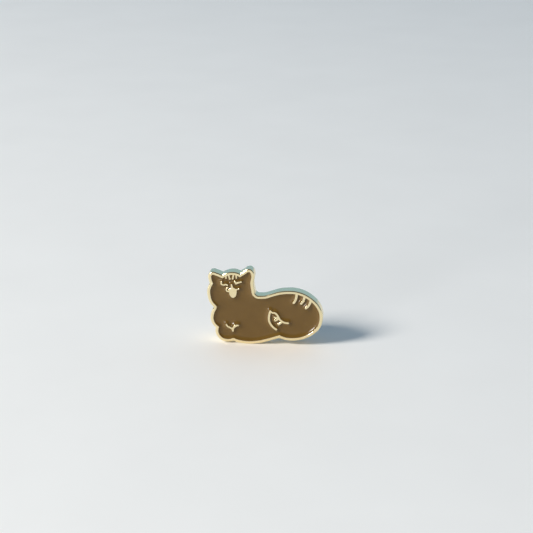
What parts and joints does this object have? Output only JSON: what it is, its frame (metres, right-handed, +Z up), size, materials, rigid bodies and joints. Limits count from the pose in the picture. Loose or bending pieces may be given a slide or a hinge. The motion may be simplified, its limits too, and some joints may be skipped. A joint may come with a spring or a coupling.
{
  "type": "enamel pin",
  "caption": "Small die-struck metal pin shaped as a resting cat, with brown soft enamel between raised gold lines, worn on cloth by nail posts and butterfly clutches.",
  "frame": {"origin": "on the flat back face, midway between the two posts", "axes": "+X to the right of the picture, +Z up the picture, +Y out of the back face, along the posts"},
  "size_m": [0.0279, 0.0096, 0.0194],
  "materials": {
    "gold_plating": "pale gold plating, polished on the raised lines, satin on the walls and back",
    "brown_enamel": "glossy soft enamel, level a little below the lines",
    "solder": "plated-over solder, slightly rough",
    "clutch_brass": "stamped thin sheet, bright plated",
    "spring_wire": "drawn wire"
  },
  "bodies": {
    "pin": {"base_plate": "gold_plating", "enamel": "brown_enamel", "left_post": "gold_plating", "right_post": "gold_plating", "left_solder": "solder", "right_solder": "solder"},
    "left_clutch": {"left_clutch_dish": "clutch_brass", "left_clutch_cap": "clutch_brass", "left_clutch_spring": "spring_wire"},
    "left_clutch_wing_left": {"left_clutch_wing_left": "clutch_brass"},
    "left_clutch_wing_right": {"left_clutch_wing_right": "clutch_brass"},
    "right_clutch": {"right_clutch_dish": "clutch_brass", "right_clutch_cap": "clutch_brass", "right_clutch_spring": "spring_wire"},
    "right_clutch_wing_left": {"right_clutch_wing_left": "clutch_brass"},
    "right_clutch_wing_right": {"right_clutch_wing_right": "clutch_brass"}
  },
  "joints": [
    {"name": "left_clutch_pull", "type": "slide", "parent": "pin", "child": "left_clutch", "axis": [0, 1, 0], "range_m": [0, 0.012]},
    {"name": "left_clutch_wing_left_squeeze", "type": "hinge", "parent": "left_clutch", "child": "left_clutch_wing_left", "pos_m": [-0.00905, 0.00488, 0], "axis": [0, 0, -1], "range_deg": [0, 9], "stiffness_Nm_per_rad": 0.0005, "springref_deg": -2.86, "deforming": ["left_clutch_spring"]},
    {"name": "left_clutch_wing_right_squeeze", "type": "hinge", "parent": "left_clutch", "child": "left_clutch_wing_right", "pos_m": [-0.00395, 0.00488, 0], "axis": [0, 0, 1], "range_deg": [0, 9], "stiffness_Nm_per_rad": 0.0005, "springref_deg": -2.86},
    {"name": "right_clutch_pull", "type": "slide", "parent": "pin", "child": "right_clutch", "axis": [0, 1, 0], "range_m": [0, 0.012]},
    {"name": "right_clutch_wing_left_squeeze", "type": "hinge", "parent": "right_clutch", "child": "right_clutch_wing_left", "pos_m": [0.00395, 0.00488, 0], "axis": [0, 0, -1], "range_deg": [0, 9], "stiffness_Nm_per_rad": 0.0005, "springref_deg": -2.86, "deforming": ["right_clutch_spring"]},
    {"name": "right_clutch_wing_right_squeeze", "type": "hinge", "parent": "right_clutch", "child": "right_clutch_wing_right", "pos_m": [0.00905, 0.00488, 0], "axis": [0, 0, 1], "range_deg": [0, 9], "stiffness_Nm_per_rad": 0.0005, "springref_deg": -2.86}
  ],
  "couplings": [
    {"joint": "left_clutch_wing_right_squeeze", "follows": "left_clutch_wing_left_squeeze", "ratio": 1},
    {"joint": "right_clutch_wing_right_squeeze", "follows": "right_clutch_wing_left_squeeze", "ratio": 1}
  ]
}
